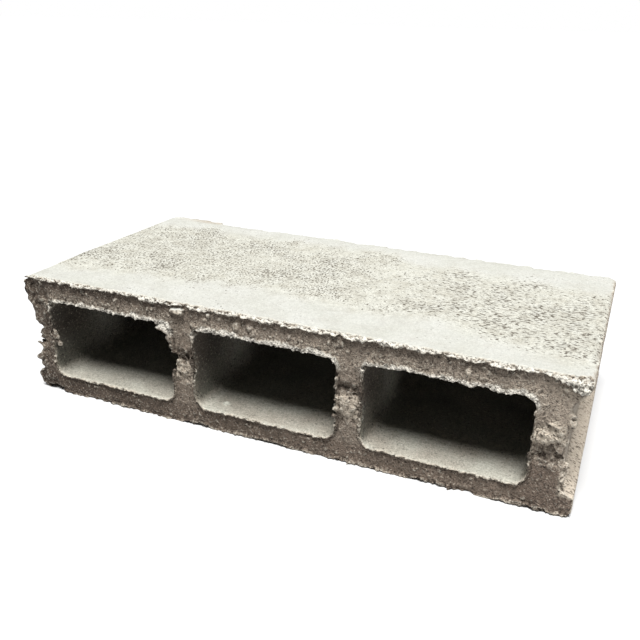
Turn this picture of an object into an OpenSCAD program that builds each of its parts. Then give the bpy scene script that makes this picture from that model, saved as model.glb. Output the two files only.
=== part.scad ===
// Hollow concrete partition block with three cells, lying on one face shell.
// X runs along the length, Y from the front bed face to the back one, Z up.
// The origin is on the floor, in the middle of the underside. Millimetres.

/* [Block] */
// Length over the ears at both ends
block_length = 390; // [290:1:500]
// Width between the two bed faces, where the cells open
block_width = 190; // [100:1:240]
// Height as it lies, through both face shells
block_height = 90; // [75:1:150]
// Radius of the long outer corners that run between the bed faces
corner_radius = 4; // [1:0.5:6]

/* [Cells] */
// Number of cells in a row
cell_count = 3; // [1:1:3]
// Thickness of the face shell that the block lies on, at the front
bottom_shell = 14.5; // [10:0.5:20]
// Thickness of the upper face shell, at the front
top_shell = 18; // [10:0.5:22]
// Thickness of the web between two cells, at the front
inner_web = 17.3; // [10:0.1:26]
// Length from the left ear tips to the first cell, at the front
left_end = 21; // [18:0.5:32]
// Length from the last cell to the right ear tips, at the front
right_end = 28; // [18:0.5:32]
// Radius of the four corners of each cell, at the front
cell_corner = 9; // [5:0.5:14]
// How far each cell wall closes in from the front to the back, for mould release
cell_draft = 1.5; // [0.5:0.1:3]

/* [End grooves] */
// Depth of the mortar groove in the left end
left_groove = 7; // [3:0.5:9]
// Depth of the mortar groove in the right end
right_groove = 9; // [3:0.5:9]
// Height of the lower ear's tip
lower_ear = 13; // [10:0.5:18]
// Rise of the groove's lower flank from the ear's tip to the groove's floor
lower_flank = 4; // [2:0.5:8]
// Height of the upper ear's tip
upper_ear = 7; // [7:0.5:18]
// Rise of the groove's upper flank from its floor to the ear's tip
upper_flank = 14; // [4:0.5:16]

/* [Hidden] */
$fn = 48;
// How far every cutter runs past the faces it cuts
over = 2;
cells_length = block_length - left_end - right_end;
cell_length = (cells_length - (cell_count - 1) * inner_web) / cell_count;
cell_height = block_height - bottom_shell - top_shell;
cell_pitch = cell_length + inner_web;
first_cell_x = -block_length / 2 + left_end + cell_length / 2;
cell_z = bottom_shell + cell_height / 2;
// Draft per millimetre of width
slope = cell_draft / block_width;

// A rectangle with round corners, centred.
module rounded_rect(length, height, radius) {
    reach_x = length / 2 - radius;
    reach_y = height / 2 - radius;
    square([2 * reach_x, height], center = true);
    square([length, 2 * reach_y], center = true);
    for (x = [-reach_x, reach_x], y = [-reach_y, reach_y])
        translate([x, y])
            circle(r = radius);
}

// A bar with the block's outline, running the whole width in Y.
module outline_bar() {
    translate([0, 0, block_height / 2])
        rotate([90, 0, 0])
            linear_extrude(height = block_width, center = true)
                rounded_rect(block_length, block_height, corner_radius);
}

// The bar with an end groove's section, cut into the end that lies towards side.
module groove_bar(depth, side) {
    tip = block_length / 2;
    floor_low = lower_ear + lower_flank;
    floor_high = block_height - upper_ear - upper_flank;
    // The flanks carry on at the same slope past the ear tips.
    out_low = lower_ear - lower_flank * over / depth;
    out_high = block_height - upper_ear + upper_flank * over / depth;
    rotate([90, 0, 0])
        linear_extrude(height = block_width + 2 * over, center = true)
            polygon([
                [side * (tip - depth), floor_low],
                [side * (tip + over), out_low],
                [side * (tip + over), out_high],
                [side * (tip - depth), floor_high]
            ]);
}

// A thin slice of a cell at width y, where its walls have closed in by inset.
module cell_slice(y, inset) {
    translate([0, y, 0])
        rotate([90, 0, 0])
            linear_extrude(height = 0.01, center = true)
                rounded_rect(
                    cell_length - 2 * inset,
                    cell_height - 2 * inset,
                    cell_corner - inset
                );
}

// One tapered cell, centred on X and Z, wide at the front.
module cell() {
    hull() {
        cell_slice(-block_width / 2 - over, -slope * over);
        cell_slice(block_width / 2 + over, cell_draft + slope * over);
    }
}

// The whole block, dry-pressed as one piece.
module block() {
    color("#a49c92")
        difference() {
            outline_bar();
            for (i = [0:cell_count - 1])
                translate([first_cell_x + i * cell_pitch, 0, cell_z])
                    cell();
            groove_bar(left_groove, -1);
            groove_bar(right_groove, 1);
        }
}

block();
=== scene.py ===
import math
import random

import bpy
import numpy as np
from mathutils import Matrix, Vector, noise


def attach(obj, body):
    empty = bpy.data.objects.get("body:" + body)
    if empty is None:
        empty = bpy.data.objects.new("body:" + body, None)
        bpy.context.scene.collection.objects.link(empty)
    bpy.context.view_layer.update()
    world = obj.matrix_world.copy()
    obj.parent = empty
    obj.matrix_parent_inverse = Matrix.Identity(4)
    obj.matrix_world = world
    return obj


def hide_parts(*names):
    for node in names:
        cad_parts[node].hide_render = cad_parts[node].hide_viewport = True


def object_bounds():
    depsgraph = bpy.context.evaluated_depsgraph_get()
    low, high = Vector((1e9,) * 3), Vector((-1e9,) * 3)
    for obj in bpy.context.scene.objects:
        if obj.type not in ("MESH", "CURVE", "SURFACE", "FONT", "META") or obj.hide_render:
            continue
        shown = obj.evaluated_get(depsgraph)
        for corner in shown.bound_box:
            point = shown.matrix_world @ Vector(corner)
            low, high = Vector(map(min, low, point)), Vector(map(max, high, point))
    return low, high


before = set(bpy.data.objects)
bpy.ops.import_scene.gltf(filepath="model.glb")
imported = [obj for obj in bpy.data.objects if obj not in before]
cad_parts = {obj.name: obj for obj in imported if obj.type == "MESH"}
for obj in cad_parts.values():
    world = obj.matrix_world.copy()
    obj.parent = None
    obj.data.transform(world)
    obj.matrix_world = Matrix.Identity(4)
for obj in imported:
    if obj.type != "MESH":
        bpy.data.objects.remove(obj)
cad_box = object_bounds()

# ---------------------------------------------------------------------------
# The block: dry-pressed concrete of grey cement, sand and fine gravel, stripped from a
# steel mould with its cells standing up. The cores leave a torn lip round each cell, their
# bar leaves a rough line across the webs, and handling has broken the long corners.

# Sizes are in millimetres, and become metres where they reach a mesh.
MM = 0.001
LENGTH, WIDTH, HEIGHT = 390.0, 190.0, 90.0
LEFT, RIGHT, FRONT, BACK = -LENGTH / 2, LENGTH / 2, -WIDTH / 2, WIDTH / 2
LOWER_SHELL, UPPER_SHELL = 14.5, 18.0
LEFT_WEB, INNER_WEB, RIGHT_WEB = 21.0, 17.3, 28.0
CELL_CORNER, CELL_DRAFT = 9.0, 1.5
HALF_CELL = (LENGTH - LEFT_WEB - RIGHT_WEB - 2 * INNER_WEB) / 6
CELL_STEP = 2 * HALF_CELL + INNER_WEB
CELL_MIDDLES = [round(LEFT + LEFT_WEB + HALF_CELL + i * CELL_STEP, 2) for i in range(3)]
CELL_HALF_LENGTH = round(HALF_CELL, 2)
CELL_HALF_HEIGHT = (HEIGHT - LOWER_SHELL - UPPER_SHELL) / 2
CELL_MIDDLE_Z = LOWER_SHELL + CELL_HALF_HEIGHT
# Where the broken webs have their middles along X.
WEB_MIDDLES = (-63.2, 56.2, 178)
# How far the front drops back between its edges, the top sinks under its burrs, and the
# underside rises along its ragged front edge.
FRONT_SETBACK, TOP_SETBACK, FOOT_RISE = 4.2, 1.5, 1.6
# The grain of the remeshed body, and the triangles kept of it.
GRAIN, TRIANGLES = 0.8, 190000


def select_only(*objects):
    bpy.ops.object.select_all(action="DESELECT")
    for one in objects:
        one.select_set(True)
    bpy.context.view_layer.objects.active = objects[0]


def apply_modifier(piece, kind, **settings):
    select_only(piece)
    modifier = piece.modifiers.new(kind.title(), kind)
    for name, value in settings.items():
        setattr(modifier, name, value)
    bpy.ops.object.modifier_apply(modifier=modifier.name)


def stone(centre, size, turn=0.0, seed=0, faces=3, rough=0.25):
    """A rough lump of gravel or a broken-out hollow, turned about Y by so many degrees."""
    bpy.ops.object.select_all(action="DESELECT")
    bpy.ops.mesh.primitive_ico_sphere_add(subdivisions=faces, radius=1.0)
    lump = bpy.context.object
    place = Matrix.Rotation(math.radians(turn), 3, "Y")
    shift = Vector((seed * 7.31, seed * 3.17, seed * 5.73))
    for vertex in lump.data.vertices:
        way = vertex.co.normalized()
        swell = 1 + rough * noise.noise(way * 1.6 + shift)
        swell += 0.5 * rough * noise.noise(way * 4 + shift)
        local = Vector((way.x * size[0], way.y * size[1], way.z * size[2])) * (swell / 2)
        vertex.co = (place @ local + Vector(centre)) * MM
    return lump


def joined(lumps, name):
    select_only(*lumps)
    bpy.ops.object.join()
    whole = bpy.context.object
    whole.name = name
    return whole


# The pressed body starts as a copy of the exact solid, with its loose triangles merged.
cad_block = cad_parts["block"]
select_only(cad_block)
block = cad_block.copy()
block.data = cad_block.data.copy()
block.name = "concrete_block"
block.data.name = "concrete_block"
bpy.context.collection.objects.link(block)
block.parent = None
block.matrix_world = Matrix.Identity(4)
block.data.materials.clear()
select_only(block)
bpy.ops.object.mode_set(mode="EDIT")
bpy.ops.mesh.select_all(action="SELECT")
bpy.ops.mesh.remove_doubles(threshold=1e-6)
bpy.ops.object.mode_set(mode="OBJECT")

# Hollows broken out of it: centre, size across, turn about Y.
chips = [
    # The broken left end, its lower corner, and its back half.
    ((-179, -95, 0), (20, 22, 9), 8),
    ((-187, -97, 39), (6, 12, 4), 0),
    ((-183, -97, 60), (5, 6, 4), 25),
    ((-194, 14, 30), (8, 50, 20), 0),
    ((-194, 62, 58), (8, 40, 18), 0),
    # The upper right corner, and a chip in the lower edge.
    ((191, -98, 92), (20, 14, 12), 25),
    ((115, -97, 0), (10, 9, 4.5), 0),
    # The rough band across the webs.
    ((176, -97, 38), (18, 15, 11), 0),
    ((-62, -97.5, 51.5), (12, 13, 8), 0),
    ((-68, -96, 47), (6, 9, 7), 0),
    ((56, -97.5, 53.5), (15, 13, 7), 0),
    ((181, -97, 53.5), (8, 8, 2.6), 25),
    # The sharp upper left corner of each cell.
    ((-171.8, -94, 69.0), (6.6, 12, 6.2), 0),
    ((-52.2, -94, 69.0), (6.6, 12, 6.2), 0),
    ((67.2, -94, 69.0), (6.6, 12, 6.2), 0),
]
cutters = [stone(c, s, t, seed=i, rough=0.5) for i, (c, s, t) in enumerate(chips)]
# The whole top arris of the front is worn back about 2 mm at 45 degrees.
bpy.ops.mesh.primitive_cube_add(size=1, location=(0, FRONT * MM, HEIGHT * MM))
worn_arris = bpy.context.object
worn_arris.scale = (0.42, 0.0034, 0.0034)
worn_arris.rotation_euler = (math.radians(45), 0, 0)
cutters.append(worn_arris)
cutter = joined(cutters, "hollows")
apply_modifier(
    block, "BOOLEAN", operation="DIFFERENCE", object=cutter, solver="EXACT", use_self=True
)
bpy.data.objects.remove(cutter, do_unlink=True)

# Gravel and mortar lumps that stand out of the face: centre, size across, turn about Y.
lumps = [
    # Pebbles and crumbs in the upper shell.
    ((-64, -94.8, 82.8), (7.6, 8, 4.6), 0),
    ((-55, -93.6, 80.8), (3.2, 4, 2.6), 0),
    ((-99.7, -93, 85.6), (6, 3, 3), 20),
    ((-99, -93, 77.4), (6, 4, 4), -10),
    ((-110.8, -93, 81), (5, 3, 4), 0),
    ((-89.5, -93, 77.6), (4, 3, 3), 0),
    ((-22, -94.4, 79.6), (6, 5, 4.4), -30),
    ((-12, -94.2, 80.2), (5, 5, 4), 0),
    ((-9, -94.2, 77.4), (5, 5, 4), 0),
    ((82.9, -92.6, 79.2), (5, 3, 3), 0),
    ((78, -92.6, 78), (3, 3, 3), 0),
    ((127.6, -94, 79.6), (5, 4, 7), -15),
    ((133, -92.6, 78), (3, 3, 3), 0),
    ((95.7, -93, 88.2), (2, 4, 2), 0),
    ((142.6, -93, 87.4), (2.5, 4, 2), 0),
    # Slabs at the foot of the second web.
    ((55, -92.4, 15), (12, 4, 6.5), -12),
    ((57, -92.4, 8.5), (9, 4, 5), 0),
    # The right web.
    ((175, -93, 65.5), (3.5, 4, 3), 0),
    ((179, -93, 65), (3, 4, 3), 0),
    ((178, -94, 57), (8, 6, 2.5), 15),
    ((174, -93, 51), (12, 6, 5), 5),
    ((182, -93, 48), (8, 6, 5), 0),
    # The crumbled wall of the first cell, and the two inner webs.
    ((-76, -91, 70), (12, 9, 8), 40),
    ((-66, -93, 38), (13, 6, 6), 10),
    ((-57, -93, 41), (8, 6, 6), 0),
    ((56, -93, 44), (14, 5, 6), 0),
    ((50, -92, 38), (7, 6, 5), 0),
    ((60, -93, 39), (7, 6, 5), 0),
    # A crumb on the floor of the middle cell.
    ((-37.5, -80, 15.2), (4, 4, 2.2), 0),
    # Hanging ends of the lips, and the left corner.
    ((-53, -93.6, 74.5), (9, 4, 4), 8),
    ((-44, -93.6, 73.8), (7, 4, 3), 0),
    ((-169, -93.6, 74), (9, 4, 3), 8),
    ((68, -93.6, 73.6), (9, 4, 3), 10),
    ((-181, -92, 72), (14, 8, 10), 20),
]
heaps = [stone(c, s, t, seed=40 + i, rough=0.45) for i, (c, s, t) in enumerate(lumps)]


def crumbs(count, low, high, sizes):
    """Small crumbs scattered in a box between two corners."""
    made = []
    for _ in range(count):
        centre = [random.uniform(a, b) for a, b in zip(low, high)]
        size = random.uniform(*sizes)
        shape = [size * random.uniform(0.7, 1.3) for _ in range(3)]
        made.append(stone(centre, shape, random.uniform(0, 90), random.random() * 50, 2, 0.5))
    return joined(made, "crumbs")


random.seed(11)
# Scattered crumbs: how many, the box's two corners, and the smallest and largest.
scatters = [
    # Along the top arris.
    (45, (-190, -94.6, 88.0), (-40, -92.6, 89.6), (1.2, 2.6)),
    (85, (-40, -94.6, 87.6), (186, -92.6, 89.6), (1.4, 3.4)),
    (16, (-166, -94.6, 86.5), (-140, -93, 89), (2.4, 4.4)),
    # On the webs and the left end.
    (34, (-71, -94.4, 33), (-56, -92.4, 47), (1.8, 4.2)),
    (30, (48, -94.4, 34), (64, -92.4, 48), (1.8, 3.8)),
    (30, (168, -94.4, 44), (186, -92.4, 55), (1.6, 4.0)),
    (14, (-176, -94.4, 40), (-167, -92, 48), (2.0, 4.0)),
    (30, (-190, -94.0, 8), (-176, -91, 86), (2.0, 5.0)),
    # Along the lower edge, on the broken corner, and over the two shells.
    (70, (-165, -94.8, 0.6), (180, -93, 1.6), (1.2, 2.8)),
    (40, (178, -94.5, 80), (192, -86, 87), (1.8, 4.0)),
    (70, (-172, -95.2, 76), (186, -94.6, 85), (1.2, 3.0)),
    (50, (-165, -95.2, 3), (188, -94.6, 11), (1.2, 2.6)),
    # Along the back and right edges of the top, and the front rim of the right groove.
    (40, (-186, 93, 88.6), (-140, 94.4, 89.6), (1.6, 3.2)),
    (40, (192.5, -80, 86), (194, 80, 89.4), (1.4, 3.0)),
    (36, (185.5, -94.6, 12), (188.5, -90, 34), (1.6, 3.6)),
    (10, (186, -94.6, 56), (189, -90, 66), (1.4, 3.0)),
]
heaps += [crumbs(*scatter) for scatter in scatters]
# The torn lip along the upper edge of each cell, and the thin crumbs along its floor and walls.
for middle in CELL_MIDDLES:
    for step in range(34):
        along = middle - 49 + 2.9 * step + random.uniform(-1, 1)
        rise = 1.6 * noise.noise(Vector((along * 0.09, 1.7, 0)))
        centre = (along, -93.8, 72.7 + rise + random.uniform(-0.6, 0.8))
        size = (random.uniform(2.4, 5.5), 3.4, random.uniform(1.2, 2.6))
        heaps.append(stone(centre, size, random.uniform(-14, 14), step + middle, 2, 0.5))
    heaps.append(crumbs(50, (middle - 46, -94.6, 12.9), (middle + 46, -93, 14.0), (1.3, 2.8)))
    for side in (-1, 1):
        wall = middle + side * 51.4
        heaps.append(crumbs(14, (wall - 0.7, -94.6, 24), (wall + 0.7, -93.2, 64), (1.2, 2.6)))
gravel = joined(heaps, "gravel")
block = joined([block, gravel], "concrete_block")
apply_modifier(block, "REMESH", mode="VOXEL", voxel_size=GRAIN * MM, adaptivity=0.0)


def corners_and_normals(piece):
    """Its vertices in millimetres, and their normals."""
    mesh = piece.data
    at = np.empty(len(mesh.vertices) * 3)
    mesh.vertices.foreach_get("co", at)
    way = np.empty(len(mesh.vertices) * 3)
    mesh.vertices.foreach_get("normal", way)
    return at.reshape(-1, 3) / MM, way.reshape(-1, 3)


def move_to(piece, at):
    piece.data.vertices.foreach_set("co", (at * MM).ravel())
    piece.data.update()


def ramp(value, low, high):
    """0 at low, 1 at high, smooth between them, whichever of the two is larger."""
    t = np.clip((value - low) / (high - low), 0, 1)
    return t * t * (3 - 2 * t)


def uneven(along, step, seed):
    """A seeded wandering line between -1 and 1, with a turn every so many millimetres."""
    values = np.random.default_rng(seed).uniform(-1, 1, 900)
    return np.interp(np.asarray(along) / step + 450, np.arange(900), values)


def off_cells(at):
    """How far outside the nearest cell's walls each point is, less than 0 in a cell."""
    x, y, z = at.T
    closed = CELL_DRAFT * (y - FRONT) / WIDTH
    over_z = np.abs(z - CELL_MIDDLE_Z) - (CELL_HALF_HEIGHT - closed - CELL_CORNER)
    each = []
    for middle in CELL_MIDDLES:
        over_x = np.abs(x - middle) - (CELL_HALF_LENGTH - closed - CELL_CORNER)
        outside = np.hypot(np.maximum(over_x, 0), np.maximum(over_z, 0))
        each.append(outside + np.minimum(np.maximum(over_x, over_z), 0) - CELL_CORNER)
    return np.min(each, axis=0)


def weigh(piece, groups):
    """Vertex groups of these names, in steps of a twentieth."""
    for name, weights in groups.items():
        group = piece.vertex_groups.new(name=name)
        steps = np.rint(np.clip(weights, 0, 1) * 20).astype(int)
        for step in range(1, 21):
            chosen = np.flatnonzero(steps == step)
            if len(chosen):
                group.add(chosen.tolist(), step / 20, "REPLACE")


def ragged_lines(x):
    """Heights of the top burr's foot and the low fringe's top, and the lip's depth between."""
    burr_foot = 86.8 + 1.1 * uneven(x, 7, 1) + 0.7 * uneven(x, 2.2, 2) - 7 * ramp(x, 168, 190)
    burr_foot += 0.8 * ramp(x, -80, -110) + 1.2 * ramp(np.abs(x + 64), 7, 4)
    lip_top = 1.7 + 1.2 * uneven(x, 6, 3) + 0.9 * uneven(x, 1.8, 4)
    fringe_top = 1.0 + 1.5 * uneven(x, 13, 5) + 0.8 * uneven(x, 3, 10)
    return burr_foot, lip_top, fringe_top


def rough_middle(x, y):
    """1 on the pitted middle of the top, 0 on the smooth strips along its long edges."""
    front_line = -50 + 8 * uneven(x, 31, 6) + 6 * uneven(x, 9, 7) - 22 * ramp(x, 90, 170)
    front_line -= 10 * ramp(x, -90, -150)
    back_line = 74 + 7 * uneven(x, 27, 8) + 5 * uneven(x, 8, 9) - 15 * ramp(x, -20, 120)
    return ramp(y - front_line, -14, 9) * ramp(back_line - y, -9, 12)


# How far the broken left end, and the crumbled right wall of the first cell, stand
# from the pressed shape at each height. The break is carried on behind the front.
LEFT_HEIGHTS = (0, 4, 9, 13, 19, 25, 31, 36, 41, 45, 49, 52, 57, 64, 69, 75, 81, 89)
LEFT_BREAK = (5.5, 3, 2, 3, 0, -1.5, 1, 1.5, 0, 3.5, 4.5, 1, -2.5, -3, -5, -6, -3, 3.5)
WALL_HEIGHTS = (20, 36, 43, 48, 53, 57, 61, 65, 68, 72)
WALL_BREAK = (0, 0.5, 2.7, 4, 0.5, 0, -3, -2.5, -6, -4)
at, way = corners_and_normals(block)
x, y, z = at.T
left = ramp(x, -176, -186)
fading = ramp(y, -20, -70)
at[:, 0] += left * (0.35 + 0.65 * fading) * np.interp(z, LEFT_HEIGHTS, LEFT_BREAK)
first_wall = ramp(np.abs(x + 72), 12, 4) * ramp(y, -66, -90)
at[:, 0] += first_wall * np.interp(z, WALL_HEIGHTS, WALL_BREAK)
move_to(block, at)

at, way = corners_and_normals(block)
x, y, z = at.T
cells = off_cells(at)
near_front = ramp(y, -84, -93)
# The pressed front is hollow between its edges: it drops back under the ragged burr of
# the top arris, flares out to the torn lip over each cell, and ends in low edges round
# the cells and along the underside.
above = ramp(z, 60, 70)
burr_foot, lip_top, fringe_top = ragged_lines(x)
burr = ramp(z - burr_foot, -0.8, 0.4)
flare = 0.5 * ramp(cells - lip_top, -1.0, 2.0) + 0.5 * ramp(cells, 1.5, 12)
to_lip = flare * above + ramp(cells, 0.6, 2.2) * (1 - above)
fringe = ramp(fringe_top - z, -0.8, 0.4)
fall = 0.8 + 0.2 * np.sin(x / 23) * np.cos(x / 9 + z / 14)
hollow_front = (1 - burr) * (1 - fringe) * to_lip * fall
floor_rim = ramp(np.abs(cells), 2, 0.5) * (1 - above)
lip_edge = (1 - flare) * above * (cells > -1)
edges = np.maximum.reduce([burr, lip_edge, fringe, floor_rim]) * near_front
# The back of the top keeps its burr near the left, and is worn along the rest.
back_burr = ramp(np.abs(x + 163), 26, 22) * ramp(y, 90, 92)
worn_back = np.clip(0.8 + 0.5 * uneven(x, 12, 14), 0.2, 1) * ramp(x, -140, -136) * ramp(y, 86, 93)
foot = ramp(z, 5, 1) * ramp(y, -80, -90)
foot *= np.clip(0.35 + uneven(x, 17, 12) + 0.4 * uneven(x, 5, 13), 0, 1)
# Every arris: the long corners, the cells' mouths, and the ends.
arris = np.minimum.reduce([
    np.hypot(y - FRONT, z), np.hypot(y - BACK, z - HEIGHT), np.hypot(y - BACK, z),
    np.hypot(np.abs(x) - RIGHT, z - HEIGHT), np.hypot(np.abs(x) - RIGHT, np.abs(y) - BACK),
    np.hypot(cells, np.abs(y) - BACK), np.hypot(np.abs(x) - 188, np.abs(y) - BACK),
])
# The rough band that the core bar leaves across the webs, and the broken left end.
web_band = ramp(np.abs(z - 43), 18, 10) * near_front * (cells > -1)
off_webs = np.min([np.abs(x - middle) for middle in WEB_MIDDLES], axis=0)
left_end = ramp(x, -173, -179) * ramp(z, 2, 8) * ramp(z, 89, 86)
top_flat = ramp(way[:, 2], 0.6, 0.9) * (z > 80)
weigh(block, {
    "setback": near_front * (0.3 + 0.7 * hollow_front),
    "lowered": ramp(z, 82, 89) * (1 - back_burr) * (0.6 + 0.4 * worn_back),
    "raised": foot,
    "corners": ramp(arris, 4.0, 0.5),
    "ragged": edges * (way[:, 1] < -0.2),
    "crumbly": np.maximum(web_band * ramp(off_webs, 13, 8), left_end),
    "front": ramp(way[:, 1], -0.4, -0.8) * (y < -85),
    "worn_top": top_flat * (0.12 + 0.88 * rough_middle(x, y)),
})
for group, axis, distance in [
    ("setback", "Y", FRONT_SETBACK), ("lowered", "Z", -TOP_SETBACK), ("raised", "Z", FOOT_RISE),
]:
    apply_modifier(
        block, "DISPLACE", strength=distance * MM, mid_level=0, direction=axis, vertex_group=group
    )
# Relief from coarse to fine: pattern, its size, layers of detail, height, level that stays
# put, and where. A negative height raises the middles of the Voronoi cells as grains.
for name, pattern, size, layers, height, level, group in [
    ("pressed_waves", "CLOUDS", 30, 2, 1.0, 0.5, ""),
    ("crags", "CLOUDS", 9.5, 4, 6.0, 0.48, "crumbly"),
    ("small_lumps", "VORONOI", 4.8, 0, -1.9, 0.35, "crumbly"),
    ("burrs", "VORONOI", 2.8, 0, -2.4, 0.4, "ragged"),
    ("fine_burrs", "VORONOI", 1.6, 0, -1.6, 0.4, "ragged"),
    ("torn_edges", "CLOUDS", 6, 4, 3.0, 0.6, "corners"),
    ("sand", "CLOUDS", 3.5, 3, 1.1, 0.5, "front"),
    ("pits", "CLOUDS", 3.5, 3, 0.7, 0.55, "worn_top"),
]:
    relief = bpy.data.textures.new(name, pattern)
    relief.noise_scale = size * MM
    if layers:
        relief.noise_depth = layers
    apply_modifier(
        block, "DISPLACE", texture=relief, strength=height * MM, mid_level=level, vertex_group=group
    )

# Fewer triangles where it is plain. The group's factor is weighed against edge lengths in
# metres, so it is tiny.
select_only(block)
bpy.ops.object.shade_smooth()
faces = sum(len(p.vertices) - 2 for p in block.data.polygons)
at, way = corners_and_normals(block)
x, y, z = at.T
weigh(block, {"plain": 1 - np.maximum(ramp(y, -80, -90), 0.35 * (z > 85))})
apply_modifier(
    block, "DECIMATE", ratio=TRIANGLES / faces, vertex_group="plain", vertex_group_factor=0.00006
)
# Nothing stands past the exact solid's box.
at, way = corners_and_normals(block)
low, high = (np.array(corner) / MM for corner in cad_box)
move_to(block, np.clip(at, low, high))

# Marks for the material, from 0 to 1 at each vertex. The first is each vertex against the
# middle of its neighbours, along its normal: over a half in a hollow, under it on a crest.
at, way = corners_and_normals(block)
x, y, z = at.T
cells = off_cells(at)
ends = np.empty(len(block.data.edges) * 2, dtype=np.int32)
block.data.edges.foreach_get("vertices", ends)
one, two = ends.reshape(-1, 2).T
gaps = at[two] - at[one]
sunk = np.zeros(len(x))
near = np.zeros(len(x))
span = np.maximum(np.linalg.norm(gaps, axis=1), 1e-6)
np.add.at(sunk, one, (gaps * way[one]).sum(1) / span)
np.add.at(sunk, two, (-gaps * way[two]).sum(1) / span)
np.add.at(near, one, 1)
np.add.at(near, two, 1)
sunk /= np.maximum(near, 1)

depth = BACK - np.abs(y)
near_front = ramp(y, -86, -92)
upward = ramp(way[:, 2], 0.3, 0.9)
walls = 1 - upward
top = (z > 80) * upward
burr_foot, lip_top, fringe_top = ragged_lines(x)
burr = ramp(z - burr_foot, -0.6, 0.4)
# The torn lip over each cell: pale paste, lit further by a painted highlight.
lip = ramp(lip_top - cells, -1.6, -0.4) * ramp(z, 62, 70) * (cells > -3)
floor_edge = ramp(cells, 1.4, 0.2) * (z < 40)
fringe = ramp(fringe_top - z, -0.8, 0.4)
floors = ramp(cells, 1, -1) * upward * (z < 40)
# The pale sloping flank at the foot of the right end.
ledge = ramp(x, 185, 187) * ramp(way[:, 0] + way[:, 2], 0.6, 0.9) * (z < 72)
# Painted shade in the hollows of the webs: middle along X and Z, and half width and height.
pockets = [(-62, 51.5, 7, 4), (56, 53.5, 8, 3.6), (177, 37, 9, 6)]
pocket = near_front * np.max([
    ramp(np.hypot((x - px) / half_x, (z - pz) / half_z), 1.2, 0.6)
    for px, pz, half_x, half_z in pockets
], axis=0)
# The pale crumbs on the inner webs, on the right web, and down the rim of the right groove.
web_crumbs = np.maximum.reduce([
    2.2 * ramp(np.abs(z - 40), 11, 6) * (cells > 0.5) * (np.abs(x) < 80),
    2.8 * ramp(np.abs(z - 50), 6, 4) * (x > 167),
    2.2 * ramp(x, 184, 186) * ramp(np.abs(z - 22), 11, 8),
]) * (1 - pocket)
# The cement-coated pebbles in the upper shell: place along X and Z, radius, paleness.
pebbles = [
    (-64, 82.8, 3.8, 1.0), (-22, 79.6, 2.6, 0.4), (-10, 78.8, 3.0, 0.3),
    (127.6, 79.6, 2.4, 0.7), (178, 57, 3.6, 0.9),
]
pebble = np.max([
    paleness * ramp(np.hypot(x - px, z - pz), radius, 0.6 * radius)
    for px, pz, radius, paleness in pebbles
], axis=0)
broken_corner = ramp(x, 181, 187) * ramp(z, 79, 83)
# Painted light on the front above each cell, growing towards its lip.
under_lips = ramp(cells, 11, 2) * ramp(z, 62, 70)
pale_front = near_front * np.maximum.reduce([
    pebble, burr, lip, floor_edge, 0.22 * under_lips, 0.36 * fringe, 0.3 * web_crumbs,
    0.7 * broken_corner,
])
right_foot = 0.9 * ramp(x, 156, 170) * ramp(z, 34, 28)
# Painted shade on the front under the top arris's burr, where it overhangs.
under_burr = near_front * ramp(z, 76, 85) * (1 - burr) * (cells > 0)
under_burr *= 1 - 0.4 * ramp(x, -90, -30) - 0.4 * ramp(x, 140, 175)
# The broken left end is made darker.
left_end_dark = ramp(x, -172, -177) * (z < 86)
back_burr = ramp(np.abs(x + 163), 26, 22) * ramp(x, -192, -150) * ramp(y, 88, 92) * (z > 84)
# Painted light and shade in the cells: a darker tone inwards from their mouths, lighter on the walls
# further in, painted shade on the upper walls near the mouths, and the most painted shade in the
# middle of each cell and on its floor further in.
inward = np.maximum(ramp(depth, 14, 50), walls * ramp(depth, 1, 5))
marks = {
    "hollow": 0.5 + 1.6 * sunk,
    "pale": np.maximum.reduce([top, pale_front, floors, 0.6 * ledge]),
    "cell_shading": ramp(cells, 1.5, -1.0) * inward,
    "wall_painted_light": walls * ramp(depth, 28, 66),
    "wall_painted_shade": walls * ramp(depth, 66, 26) * ramp(z, 20, 50),
    "deep_painted_shade": np.maximum(ramp(depth, 66, 92), upward * ramp(depth, 36, 84)),
    "top": np.maximum(top, 0.95 * ledge),
    "pitted": np.maximum(top * rough_middle(x, y), 0.95 * ledge),
    "rightward": (x - LEFT) / LENGTH,
    "low": np.maximum(ramp(z, 16, 12), right_foot) * (1 - top),
    "ledge": ledge,
    "cell_floor": floors,
    "right_foot": right_foot * (1 - ledge),
    # Painted shade under the top arris and in the web hollows, and darker on the left end and the
    # back burr.
    "shade_and_darkening": np.maximum.reduce(
        [0.75 * under_burr, 0.55 * left_end_dark, 0.5 * back_burr, 0.9 * pocket]
    ),
    "back_burr": back_burr,
    # Pale paste on the burrs, with a painted highlight on the lips.
    "burr": np.maximum(burr * ramp(y, -91.4, -93), lip * near_front),
    "smooth": np.maximum(top * (1 - rough_middle(x, y)), floors),
    "level": np.maximum.reduce([top, 0.8 * floors, 0.95 * ledge]),
}
for name, values in marks.items():
    layer = block.data.attributes.new(name, "FLOAT", "POINT")
    layer.data.foreach_set("value", np.clip(values, 0, 1).astype(np.float32))


def linear(hex_colour):
    """An sRGB hex colour as linear red, green, blue and alpha."""
    parts = [int(hex_colour[i : i + 2], 16) / 255 for i in (1, 3, 5)]
    return [c / 12.92 if c <= 0.04045 else ((c + 0.055) / 1.055) ** 2.4 for c in parts] + [1]


def add(tree, kind, inputs, output=0, **settings):
    """Adds a node with its settings, its inputs set or linked, and gives one output."""
    node = tree.nodes.new("ShaderNode" + kind)
    for name, value in settings.items():
        setattr(node, name, value)
    for name, value in inputs.items():
        if isinstance(value, bpy.types.NodeSocket):
            tree.links.new(value, node.inputs[name])
        else:
            node.inputs[name].default_value = value
    return node.outputs[output]


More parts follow.
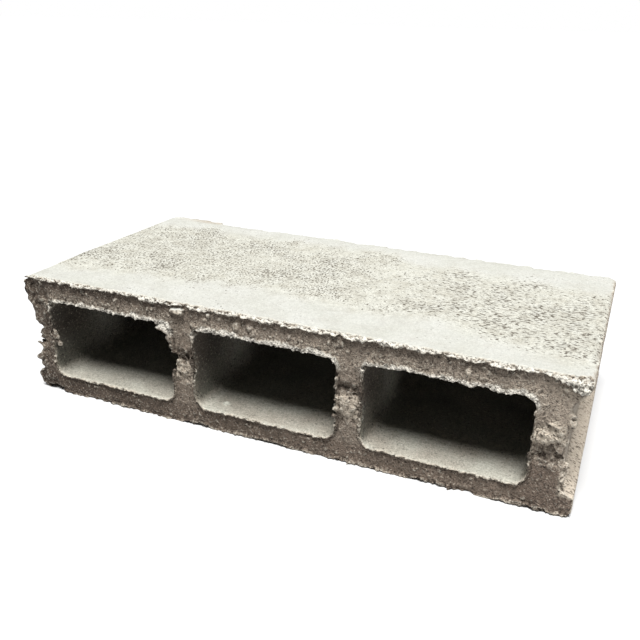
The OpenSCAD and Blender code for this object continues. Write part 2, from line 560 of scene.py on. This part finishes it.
# Dry-pressed concrete: matt cement paste round sand and grit, with no gloss anywhere. It
# is pale grey where the mould's plates slid over it, brown and gritty where it tore or
# was left open, with dark pits. Painted shade darkens its hollows, the band under the top
# arris, the web hollows and the cells, and painted light lifts its crests, lips and right
# end. IOR and roughness are those of cement.
concrete = bpy.data.materials.new("dry_pressed_concrete")
concrete.use_nodes = True
tree = concrete.node_tree
shader = tree.nodes["Principled BSDF"]
for name, value in {"Roughness": 0.93, "IOR": 1.5, "Specular IOR Level": 0.3}.items():
    shader.inputs[name].default_value = value

parts = {name: add(tree, "Attribute", {}, "Fac", attribute_name=name) for name in marks}
# Patterns, at so many to the metre: damp blotches of 26 mm, dusty patches of 8 mm, sand of
# 2 mm, grit of 0.9 mm and pits of 1.5 mm. The finest are drawn coarser than the real
# grains, so that they show. The core plate dragged the pits into short streaks along X.
place = add(tree, "TexCoord", {}, "Object")
for name, scale, detail, stretch in [
    ("blotch", 38.0, 5.0, (1, 1, 1)), ("patch", 130.0, 4.0, (1, 1, 1)),
    ("sand", 480.0, 3.0, (1, 1, 1)), ("grit", 1100.0, 2.0, (1, 1, 1)),
    ("pits", 720.0, 3.0, (1.0, 0.75, 1.0)), ("drag", 650.0, 3.0, (0.5, 1.0, 1.0)),
]:
    stretched = add(tree, "Mapping", {"Vector": place, "Scale": stretch})
    parts[name] = add(
        tree, "TexNoise", {"Vector": stretched, "Scale": scale, "Detail": detail}, "Fac"
    )
# What each part above counts for: from where, to where, and its least and most.
for name, source, low, high, least, most in [
    ("damp", "blotch", 0.35, 0.65, 0, 1),
    ("film", "blotch", 0.3, 0.7, 0, 1),
    ("dust", "patch", 0.35, 0.65, 0, 1),
    ("patchy", "patch", 0.3, 0.55, 0.88, 1),
    ("far_right", "rightward", 0.91, 0.97, 0, 0.6),
    ("dragged", "rightward", 0.5, 0.8, 0, 1),
    # Painted highlight on crests and painted shade in hollows, with less of the shade on the burrs.
    ("crest_highlight", "hollow", 0.42, 0.16, 0, 0.4),
    ("hollow_shade", "hollow", 0.59, 0.9, 0, 0.85),
    ("hollow_shade_kept", "burr", 0, 1, 1, 0.7),
    ("crumb", "pits", 0.39, 0.33, 0, 1),
    ("hole", "pits", 0.61, 0.67, 0, 1),
    ("sand_fleck", "sand", 0.35, 0.65, 0.84, 1.14),
    ("grit_fleck", "grit", 0.35, 0.65, 0.78, 1.22),
    ("fleck_lost", "smooth", 0, 1, 0, 0.4),
    ("smooth_relief", "smooth", 0, 1, 1, 0.3),
    ("top_relief", "top", 0, 1, 1, 0.5),
]:
    parts[name] = add(tree, "MapRange", {
        "Value": parts[source], "From Min": low, "From Max": high, "To Min": least, "To Max": most,
    })
streak = add(
    tree, "Mix", {"Factor": parts["dragged"], 6: parts["pits"], 7: parts["drag"]}, 2, data_type="RGBA"
)
# The pits of the top go deeper in its rough middle and in the damp blotches.
for source, share in (("pitted", 0.11), ("blotch", 0.27)):
    streak = add(tree, "Math", {0: parts[source], 1: share, 2: streak}, operation="MULTIPLY_ADD")
parts["speck"] = add(tree, "MapRange", {"Value": streak, "From Min": 0.802, "From Max": 0.858})
parts["sides"] = add(tree, "Math", {0: 1.0, 1: parts["level"]}, operation="SUBTRACT")
for name, first, second in [
    ("paste", "pale", "patchy"), ("hollow_shade_coat", "hollow_shade", "hollow_shade_kept"), ("crumbs", "crumb", "sides"),
    ("holes", "hole", "sides"), ("specks", "speck", "top"), ("fleck", "sand_fleck", "grit_fleck"),
    ("strength", "smooth_relief", "top_relief"),
]:
    parts[name] = add(tree, "Math", {0: parts[first], 1: parts[second]}, operation="MULTIPLY")
# Each tone: what it starts from, and what is laid over it, where, how much, and in what tone.
for tone, under, coats in [
    # Both brown tones lighten towards the right end, and the far right more: painted light.
    ("low_brown", "#40352c", [("rightward", 1, "#74665a")]),
    ("brown", "#554a40", [
        ("damp", 1, "#6f6357"), ("rightward", 0.75, "#8f8477"), ("far_right", 1, "#a89c8d"),
        # Painted shade under the top arris and in the web hollows, and darker on the left end and the
        # back burr.
        ("low", 0.8, "low_brown"), ("right_foot", 0.7, "#5c4f45"), ("shade_and_darkening", 0.8, "#40362e"),
    ]),
    ("cement_film", "#a8a8a0", [("film", 1, "#b0b0aa")]),
    ("dry_grit", "#aba99d", [("dust", 1, "#b8b7ad")]),
    ("grey", "#b4a999", [("level", 1, "cement_film"), ("pitted", 0.8, "dry_grit")]),
    # The cells' painted light and shade: a darker tone, lightened on the walls further in, darkened
    # near the mouths and in the middle.
    ("cell_shading_tone", "#72746a", [
        ("wall_painted_light", 1, "#b8b6ac"), ("wall_painted_shade", 0.9, "#2e2b26"), ("deep_painted_shade", 0.75, "#302d29"),
    ]),
    ("surface", "brown", [
        ("paste", 1, "grey"), ("cell_floor", 0.75, "#989b90"), ("back_burr", 0.6, "#8f8272"),
        # Pale paste on the burrs, with a painted highlight on the lips.
        ("ledge", 0.8, "#b8ac9c"), ("burr", 0.85, "#d0ccc2"), ("cell_shading", 1, "cell_shading_tone"),
        # Painted highlight on crests and painted shade in hollows.
        ("crest_highlight", 1, "#bcb8ab"), ("hollow_shade_coat", 1, "#453c34"), ("crumbs", 0.42, "#bab1a2"),
        ("holes", 0.7, "#352d27"), ("specks", 0.88, "#4c443a"),
    ]),
    ("flecks", "fleck", [("fleck_lost", 1, "#ffffff"), ("top", 0.32, "#ffffff")]),
]:
    laid = parts[under] if under in parts else linear(under)
    for where, share, colour in coats:
        cover = add(tree, "Math", {0: parts[where], 1: share}, operation="MULTIPLY")
        over = parts[colour] if colour in parts else linear(colour)
        laid = add(tree, "Mix", {"Factor": cover, 6: laid, 7: over}, 2, data_type="RGBA")
    parts[tone] = laid
flecked = add(
    tree, "VectorMath", {0: parts["surface"], 1: parts["flecks"]}, operation="MULTIPLY"
)
tree.links.new(flecked, shader.inputs["Base Color"])
# Sand and grit stand out of the surface, and the specks and holes sink into it.
relief = parts["grit"]
for name, height in (("sand", 0.5), ("specks", -0.5), ("holes", -0.6)):
    relief = add(tree, "Math", {0: parts[name], 1: height, 2: relief}, operation="MULTIPLY_ADD")
bump = add(
    tree, "Bump", {"Height": relief, "Strength": parts["strength"], "Distance": 1.8 * MM}
)
tree.links.new(bump, shader.inputs["Normal"])
block.data.materials.append(concrete)

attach(block, "root")
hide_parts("block")

# ---------------------------------------------------------------------------
# The studio: a floor of matt pale paper, one broad soft light overhead, and a weak fill
# from the white room, which the camera sees at full brightness.
bpy.ops.object.select_all(action="DESELECT")
bpy.ops.mesh.primitive_plane_add(size=60, location=(0, 0, 0))
floor = bpy.context.object
floor.name = "studio_floor"
paper = bpy.data.materials.new("pale_paper")
paper.use_nodes = True
sheet = paper.node_tree.nodes["Principled BSDF"]
sheet.inputs["Base Color"].default_value = linear("#c4c4c4")
sheet.inputs["Roughness"].default_value = 0.9
sheet.inputs["Specular IOR Level"].default_value = 0.1
floor.data.materials.append(paper)

sun = bpy.data.lights.new("soft_overhead", "SUN")
sun.energy = 6.75
sun.angle = math.radians(28)
lamp = bpy.data.objects.new("soft_overhead", sun)
lamp.rotation_euler = (math.radians(17), math.radians(4), 0)
bpy.context.collection.objects.link(lamp)

world = bpy.data.worlds.new("studio")
world.use_nodes = True
room = world.node_tree
seen = add(room, "LightPath", {}, "Is Camera Ray")
glow = add(room, "MapRange", {"Value": seen, "To Min": 0.10, "To Max": 1.0})
room.links.new(glow, room.nodes["Background"].inputs["Strength"])
room.nodes["Background"].inputs["Color"].default_value = (1, 1, 1, 1)
bpy.context.scene.world = world
bpy.context.scene.view_settings.view_transform = "Standard"

lens = bpy.data.cameras.new("camera")
lens.lens = 41.55
lens.sensor_width = 36
lens.shift_y = 0.0392
lens.clip_start = 0.01
camera = bpy.data.objects.new("camera", lens)
turned = (
    Matrix.Rotation(math.radians(22.84), 4, "Z")
    @ Matrix.Rotation(math.radians(66.12), 4, "X")
    @ Matrix.Rotation(math.radians(1.317), 4, "Z")
)
camera.matrix_world = Matrix.Translation((0.19592, -0.47045, 0.26013)) @ turned
bpy.context.collection.objects.link(camera)
bpy.context.scene.camera = camera
